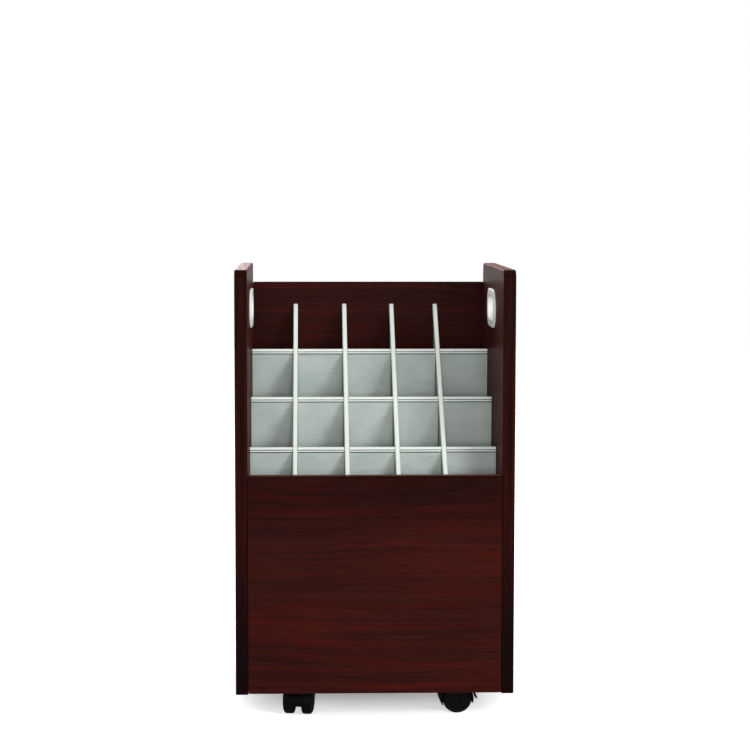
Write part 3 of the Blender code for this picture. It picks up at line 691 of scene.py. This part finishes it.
pedalShape = {
    "reach": 0.0298, "clearance": 0.0006, "thickness": 0.0024, "width": 0.022, "top": 0.0295,
    "tip": 0.0193, "knee": 0.0238, "kneeRadius": 0.001, "arris": 0.0006, "lift": 25.0, "sharpFrom": 35.0,
    "edge": 0.0004, "edgeSteps": 2, "edgeFrom": 50.0,
    "pivotReach": 0.015, "pivotHeight": 0.0285, "lugWidth": 0.006, "lugRadius": 0.002, "lugSteps": 12,
    "ribs": 3, "ribSpacing": 0.0016, "ribWidth": 0.0009, "ribSink": 0.0001, "ribHalf": 0.4, "ribSteps": 6,
}
pinShape = {"radius": 0.0012, "length": 0.009, "soft": 0.0003, "steps": 24, "sharpFrom": 40.0}
screwShape = {
    "radius": 0.0036, "rise": 0.0011, "spacing": 0.028, "seat": 0.0002, "domeSteps": 6, "steps": 28,
    "slot": 0.0009, "slotLength": 0.0038, "slotFoot": 0.6, "slotDepth": 0.0007, "slotTop": 0.002,
    "slotTurn": 0.4, "plateBottom": 0.0527, "sharpFrom": 30.0,
}


def casterPlace(caster):
    swivel = Vector(joints[f"{caster}_swivel"]["pos_m"])
    axle = Vector(joints[f"{caster}_wheel_1_spin"]["pos_m"])
    turn = math.atan2(axle.y - swivel.y, axle.x - swivel.x)
    return Matrix.Translation((swivel.x, swivel.y, 0)) @ Matrix.Rotation(turn, 4, "Z"), axle.z


def wheelProfile():
    s = wheelShape
    r, w = s["radius"], s["width"]
    inner = [
        (s["bore"], s["boreEnd"]), (s["bore"], -s["hubReach"]), (s["hub"], -s["hubReach"]),
        (s["hub"], s["recess"]), (r - s["rim"] - s["rimSlant"], s["recess"]), (r - s["rim"], 0.0)]
    edge, shoulder = s["innerEdge"], s["outerEdge"]
    tread = arcPoints((r - edge, edge), edge, -90, 0, s["innerSteps"])
    tread += [(r - deep, w * share) for share, deep in s["seam"]]
    tread += arcPoints((r - shoulder, w - shoulder), shoulder, 0, s["outerTurn"], s["outerSteps"])
    face = [(r - inward, w - down) for inward, down in s["rimSteps"]]
    face += [(radius, w + height) for radius, height in s["hubSteps"]]
    return inner + tread + face + [(0, s["boreEnd"])]


def addWheels(caster, place, axleHeight):
    profile = wheelProfile()
    for number, side in ((1, -1), (2, 1)):
        node = f"{caster}_wheel_{number}"
        name = f"wheel.{caster}.{number}"
        aside = side * wheelShape["spacing"] / 2
        matrix = place @ Matrix.Translation((hoodShape["trail"], aside, axleHeight))
        matrix = matrix @ Matrix.Rotation(-side * math.pi / 2, 4, "X")
        mesh = turnedMesh(name, profile, wheelShape["steps"])
        piece = addPiece(name, mesh, ["wheel"], node, [node], matrix)
        finishShape(piece, wheelShape["sharpFrom"])


def hoodOutline(axleHeight):
    s = hoodShape
    centre = (s["trail"], axleHeight)
    tailTurn = math.degrees(math.asin((s["tail"] - axleHeight) / s["outerRadius"]))
    leadTurn = math.pi - math.asin((s["lead"] - axleHeight) / s["outerRadius"])
    lead = (s["trail"] + s["outerRadius"] * math.cos(leadTurn), s["lead"])
    arc = arcPoints(centre, s["outerRadius"], tailTurn, 90, s["arcSteps"])
    boss = [(s["boss"], s["bossFoot"]), (s["boss"], s["top"]), (-s["boss"], s["top"])]
    return [lead] + arc + boss + [(-s["boss"], s["slant"])]


def pedalSlot(name):  # room in the hood's web for the pedal's lug to lift
    s, p = hoodShape, pedalShape
    pivot = (s["trail"] + p["pivotReach"], p["pivotHeight"])
    reach = s["outerRadius"] - p["pivotReach"] + s["slotReach"]
    rise = reach * math.tan(math.radians(p["lift"]))
    outline = arcPoints(pivot, s["slotRoom"], 90, 270, s["slotSteps"])
    outline.append((pivot[0] + reach, pivot[1] - s["slotRoom"]))
    outline.append((pivot[0] + reach, pivot[1] + s["slotRoom"] + rise))
    return outlineMesh(name + "Slot", outline, -s["slotWidth"] / 2, s["slotWidth"] / 2)


def addHood(caster, place, axleHeight, hasPedal):
    s = hoodShape
    name = f"hood.{caster}"
    halfWidth = s["width"] / 2
    draft = newDraft(name, outlineMesh(name, hoodOutline(axleHeight), -halfWidth, halfWidth))
    bevelEdges(draft, s["arris"], s["arrisSteps"], s["arrisFrom"])
    cutters = []
    archProfile = [(0, 0), (s["innerRadius"], 0), (s["innerRadius"], halfWidth), (0, halfWidth)]
    for side in (-1, 1):
        turn = Matrix.Translation((s["trail"], side * s["web"] / 2, axleHeight))
        turn = turn @ Matrix.Rotation(-side * math.pi / 2, 4, "X")
        cutters.append(cutShape(draft, turnedMesh(name + "Arch", archProfile, s["steps"]), turn))
    if hasPedal:
        cutters.append(cutShape(draft, pedalSlot(name)))
    mesh = settledMesh(draft, cutters)
    body, node = f"{caster}_caster", f"{caster}_hood"
    piece = addPiece(name, mesh, ["hood"], body, [node], place)
    finishShape(piece, s["sharpFrom"])


def addPedal(caster, place):
    s, hood = pedalShape, hoodShape
    near = hood["trail"] + hood["outerRadius"] + s["clearance"]
    far, tip = near + s["thickness"], hood["trail"] + s["reach"]
    flare = math.atan2(tip - far, s["knee"] - s["tip"])
    knee = s["knee"] + s["thickness"] * math.tan(flare / 2)
    tipThickness = s["thickness"] / math.cos(flare)
    plate = filletedOutline([
        (near, s["top"], s["arris"]), (near, s["knee"], s["kneeRadius"]),
        (tip - tipThickness, s["tip"], s["arris"] / 2), (tip, s["tip"], s["arris"] / 2),
        (far, knee, s["kneeRadius"]), (far, s["top"], s["arris"])])
    name = f"pedal.{caster}"
    draft = newDraft(name, outlineMesh(name, plate, -s["width"] / 2, s["width"] / 2))
    bevelEdges(draft, s["edge"], s["edgeSteps"], s["edgeFrom"])
    pivot = (hood["trail"] + s["pivotReach"], s["pivotHeight"])
    inside = near + s["thickness"] / 2
    lug = arcPoints(pivot, s["lugRadius"], 90, 270, s["lugSteps"])
    lug += [(inside, pivot[1] - s["lugRadius"]), (inside, s["top"] - s["arris"])]
    lugMesh = outlineMesh(name + "Lug", lug, -s["lugWidth"] / 2, s["lugWidth"] / 2)
    cutters = [cutShape(draft, lugMesh, operation="UNION")]
    ribReach = s["width"] * s["ribHalf"]
    for rib in range(s["ribs"]):  # grip ribs across the plate's face
        height = s["knee"] + s["ribSpacing"] + rib * s["ribSpacing"]
        outline = arcPoints((far - s["ribSink"], height), s["ribWidth"] / 2, -90, 90, s["ribSteps"])
        ribMesh = outlineMesh(name + "Rib", outline, -ribReach, ribReach)
        cutters.append(cutShape(draft, ribMesh, operation="UNION"))
    node = f"{caster}_brake_pedal"
    mesh = settledMesh(draft, cutters)
    piece = addPiece(name, mesh, ["hood"], node, [node], place)
    finishShape(piece, s["sharpFrom"])

    half, radius = pinShape["length"] / 2, pinShape["radius"]
    profile = filletedOutline([
        (0, -half, 0), (radius, -half, pinShape["soft"]), (radius, half, pinShape["soft"]), (0, half, 0)])
    matrix = place @ Matrix.Translation((pivot[0], 0, pivot[1])) @ Matrix.Rotation(math.pi / 2, 4, "X")
    mesh = turnedMesh(name + ".pin", profile, pinShape["steps"])
    pin = addPiece(name + ".pin", mesh, ["zinc"], node, matrix=matrix)
    finishShape(pin, pinShape["sharpFrom"])


def addScrewHeads(caster, place):
    s = screwShape
    dome = arcPoints((0, 0), 1, 0, 90, s["domeSteps"])
    profile = [(0, s["seat"]), (s["radius"], s["seat"])]
    profile += [(s["radius"] * x, -s["rise"] * y) for x, y in dome]
    half, long, foot = s["slot"] / 2, s["slotLength"] / 2, s["slotLength"] / 2 * s["slotFoot"]
    floor = -s["rise"] + s["slotDepth"]
    slot = [(-long, -s["slotTop"]), (long, -s["slotTop"]), (foot, floor), (-foot, floor)]
    for number, (x, y) in enumerate(((-1, -1), (1, -1), (1, 1), (-1, 1)), 1):
        name = f"screwHead.{caster}.{number}"
        draft = newDraft(name, turnedMesh(name, profile, s["steps"]))
        cutters = []
        for turn in (s["slotTurn"], s["slotTurn"] + math.pi / 2):
            bar = outlineMesh(name + "Slot", slot, -half, half)
            cutters.append(cutShape(draft, bar, Matrix.Rotation(turn, 4, "Z")))
        mesh = settledMesh(draft, cutters)
        spot = Matrix.Translation((x * s["spacing"] / 2, y * s["spacing"] / 2, s["plateBottom"]))
        matrix = Matrix.Translation(place.translation) @ spot
        piece = addPiece(name, mesh, ["zinc"], "cabinet", matrix=matrix)
        finishShape(piece, s["sharpFrom"])


for caster in ("front_left", "front_right", "rear_left", "rear_right"):
    place, axleHeight = casterPlace(caster)
    hasPedal = f"{caster}_brake_pedal" in nodes
    addWheels(caster, place, axleHeight)
    addHood(caster, place, axleHeight, hasPedal)
    addScrewHeads(caster, place)
    if hasPedal:
        addPedal(caster, place)
print("casters done")


# Stage: a plain pale floor, a white surround and soft lamps
stageLook = {
    "floorSize": 14.0, "floorColour": "#e8e8e8",
    "footprint": (0.12, 0.02),  # half the patch of floor where the lift is least
    "lift": ((0.0, 0.27), (0.13, 0.60), (0.35, 0.78), (1.0, 1.0)),  # light that only the camera sees
    "liftReach": 0.8,  # metres from the patch to the full lift
    "ambient": 0.28,
    "aim": (0.0, 0.0, 0.35),
    "lamps": {  # place, width, watts
        "key": ((1.2, -1.9, 1.0), 0.8, 26.0),
        "front": ((0.0, -3.3, 0.72), 0.9, 42.0),
        "left": ((-2.6, -0.4, 0.5), 0.9, 30.0),
        "right": ((2.6, 0.2, 0.5), 0.9, 26.0),
        "back": ((-0.9, 2.8, 1.5), 1.4, 46.0),
        "top": ((0.2, 0.1, 2.4), 1.4, 13.0),
    },
}


def addFloor():
    half = stageLook["floorSize"] / 2
    mesh = bpy.data.meshes.new("floor")
    corners = [(-half, -half, 0), (half, -half, 0), (half, half, 0), (-half, half, 0)]
    mesh.from_pydata(corners, [], [(0, 1, 2, 3)])
    floor = bpy.data.objects.new("floor", mesh)
    scene.collection.objects.link(floor)
    material = bpy.data.materials.new("paperFloor")
    material.use_nodes = True
    tree = material.node_tree
    tree.nodes.clear()
    rays = addNode(tree, "LightPath")
    plain = addNode(tree, "BsdfDiffuse", {"Color": linearColour(stageLook["floorColour"])})
    white = addNode(tree, "BsdfDiffuse", {"Color": (1.0, 1.0, 1.0, 1.0)})
    places = addNode(tree, "TexCoord").outputs["Object"]
    far = addNode(tree, "VectorMath", {0: places}, operation="ABSOLUTE")
    far = addNode(tree, "VectorMath", {0: far.outputs[0], 1: (*stageLook["footprint"], 0.0)},
                  operation="SUBTRACT")
    far = addNode(tree, "VectorMath", {0: far.outputs[0], 1: (0.0, 0.0, 0.0)}, operation="MAXIMUM")
    far = addNode(tree, "VectorMath", {0: far.outputs[0]}, operation="LENGTH")
    share = addNode(tree, "Math", {0: far.outputs["Value"], 1: stageLook["liftReach"]},
                    operation="DIVIDE")
    rise = addNode(tree, "ValToRGB", {0: share.outputs[0]}, stageLook["lift"])
    lift = addNode(tree, "Emission", {"Color": rise.outputs[0], "Strength": 1.0})
    seen = addNode(tree, "AddShader", {0: white.outputs[0], 1: lift.outputs[0]})
    mixed = addNode(tree, "MixShader", {
        0: rays.outputs["Is Camera Ray"], 1: plain.outputs[0], 2: seen.outputs[0]})
    addNode(tree, "OutputMaterial", {"Surface": mixed.outputs[0]})
    mesh.materials.append(material)


def addSurround():
    world = bpy.data.worlds.new("surround")
    world.use_nodes = True
    scene.world = world
    tree = world.node_tree
    tree.nodes.clear()
    rays = addNode(tree, "LightPath")
    seen = addNode(tree, "Math", {0: rays.outputs["Is Camera Ray"], 1: rays.outputs["Is Glossy Ray"]},
                   operation="ADD")
    seen = addNode(tree, "Math", {0: seen.outputs[0], 1: rays.outputs["Is Transmission Ray"]},
                   operation="ADD", use_clamp=True)
    strength = addNode(tree, "MapRange", {0: seen.outputs[0], 3: stageLook["ambient"], 4: 1.0})
    light = addNode(tree, "Background", {"Color": (1.0, 1.0, 1.0, 1.0), "Strength": strength.outputs[0]})
    addNode(tree, "OutputWorld", {"Surface": light.outputs[0]})


def addLamps():
    for name, (place, width, watts) in stageLook["lamps"].items():
        data = bpy.data.lights.new(name, "AREA")
        data.size = width
        data.energy = watts
        lamp = bpy.data.objects.new(name, data)
        scene.collection.objects.link(lamp)
        lamp.location = place
        lamp.visible_camera = False
        aim = Vector(stageLook["aim"]) - Vector(place)
        lamp.rotation_euler = aim.to_track_quat("-Z", "Y").to_euler()


addFloor()
addSurround()
addLamps()
print("stage done")
